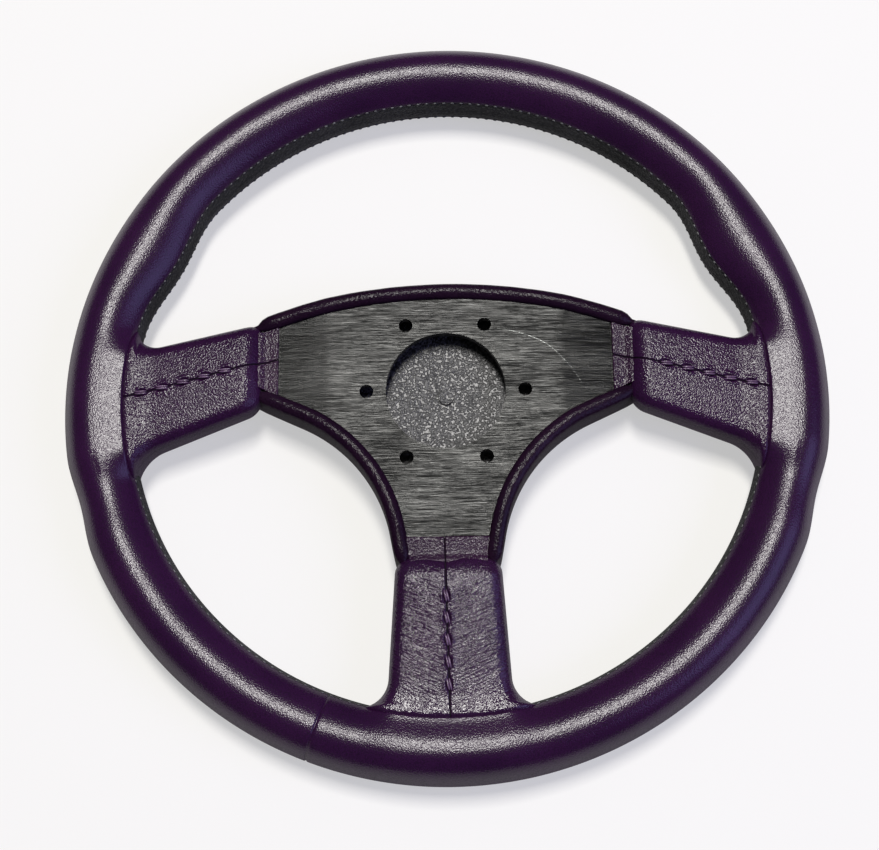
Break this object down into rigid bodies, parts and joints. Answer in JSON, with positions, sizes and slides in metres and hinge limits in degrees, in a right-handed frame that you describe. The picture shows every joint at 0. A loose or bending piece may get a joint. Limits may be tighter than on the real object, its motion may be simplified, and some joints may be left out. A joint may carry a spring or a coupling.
{
  "type": "car steering wheel",
  "caption": "Leather-covered sports steering wheel with a brushed hub plate, bolt circle, thumb grips and a sprung horn push.",
  "frame": {"origin": "centre of the hub plate's rear mounting face, on the steering axis", "axes": "+Z out of the rear mounting face towards the column, +Y to the top of the wheel; it lies on the front of its rim"},
  "size_m": [0.36, 0.36, 0.0322],
  "materials": {
    "leather": "satin, fine pebble grain",
    "black_aluminium": "brushed, black anodised",
    "steel": "plain zinc-plated",
    "foam": "moulded foam",
    "black_plastic": "fine spark texture",
    "contact_brass": "plain"
  },
  "bodies": {
    "wheel": {"spoke_plate": "black_aluminium", "rim_ring": "steel", "ring_lug_left": "steel", "ring_lug_right": "steel", "ring_lug_bottom": "steel", "arm_rivets": "steel", "rim_core": "foam", "rim_leather": "leather", "spoke_pad_right": "foam", "spoke_pad_left": "foam", "spoke_pad_bottom": "foam", "spoke_leather_right": "leather", "spoke_leather_left": "leather", "spoke_leather_bottom": "leather", "hub_pad_core": "foam", "hub_pad_leather": "leather", "horn_retainer": "black_plastic", "retainer_screws": "steel", "contact_insulator": "black_plastic", "contact_ring": "contact_brass", "horn_springs": "steel"},
    "horn_push": {"horn_disc": "black_plastic", "horn_cap": "black_plastic", "horn_contacts": "contact_brass"}
  },
  "joints": [
    {"name": "horn_press", "type": "slide", "parent": "wheel", "child": "horn_push", "axis": [0, 0, 1], "range_m": [0, 0.0025], "stiffness_N_per_m": 2400, "springref_m": -0.004, "deforming": ["horn_springs"]}
  ]
}
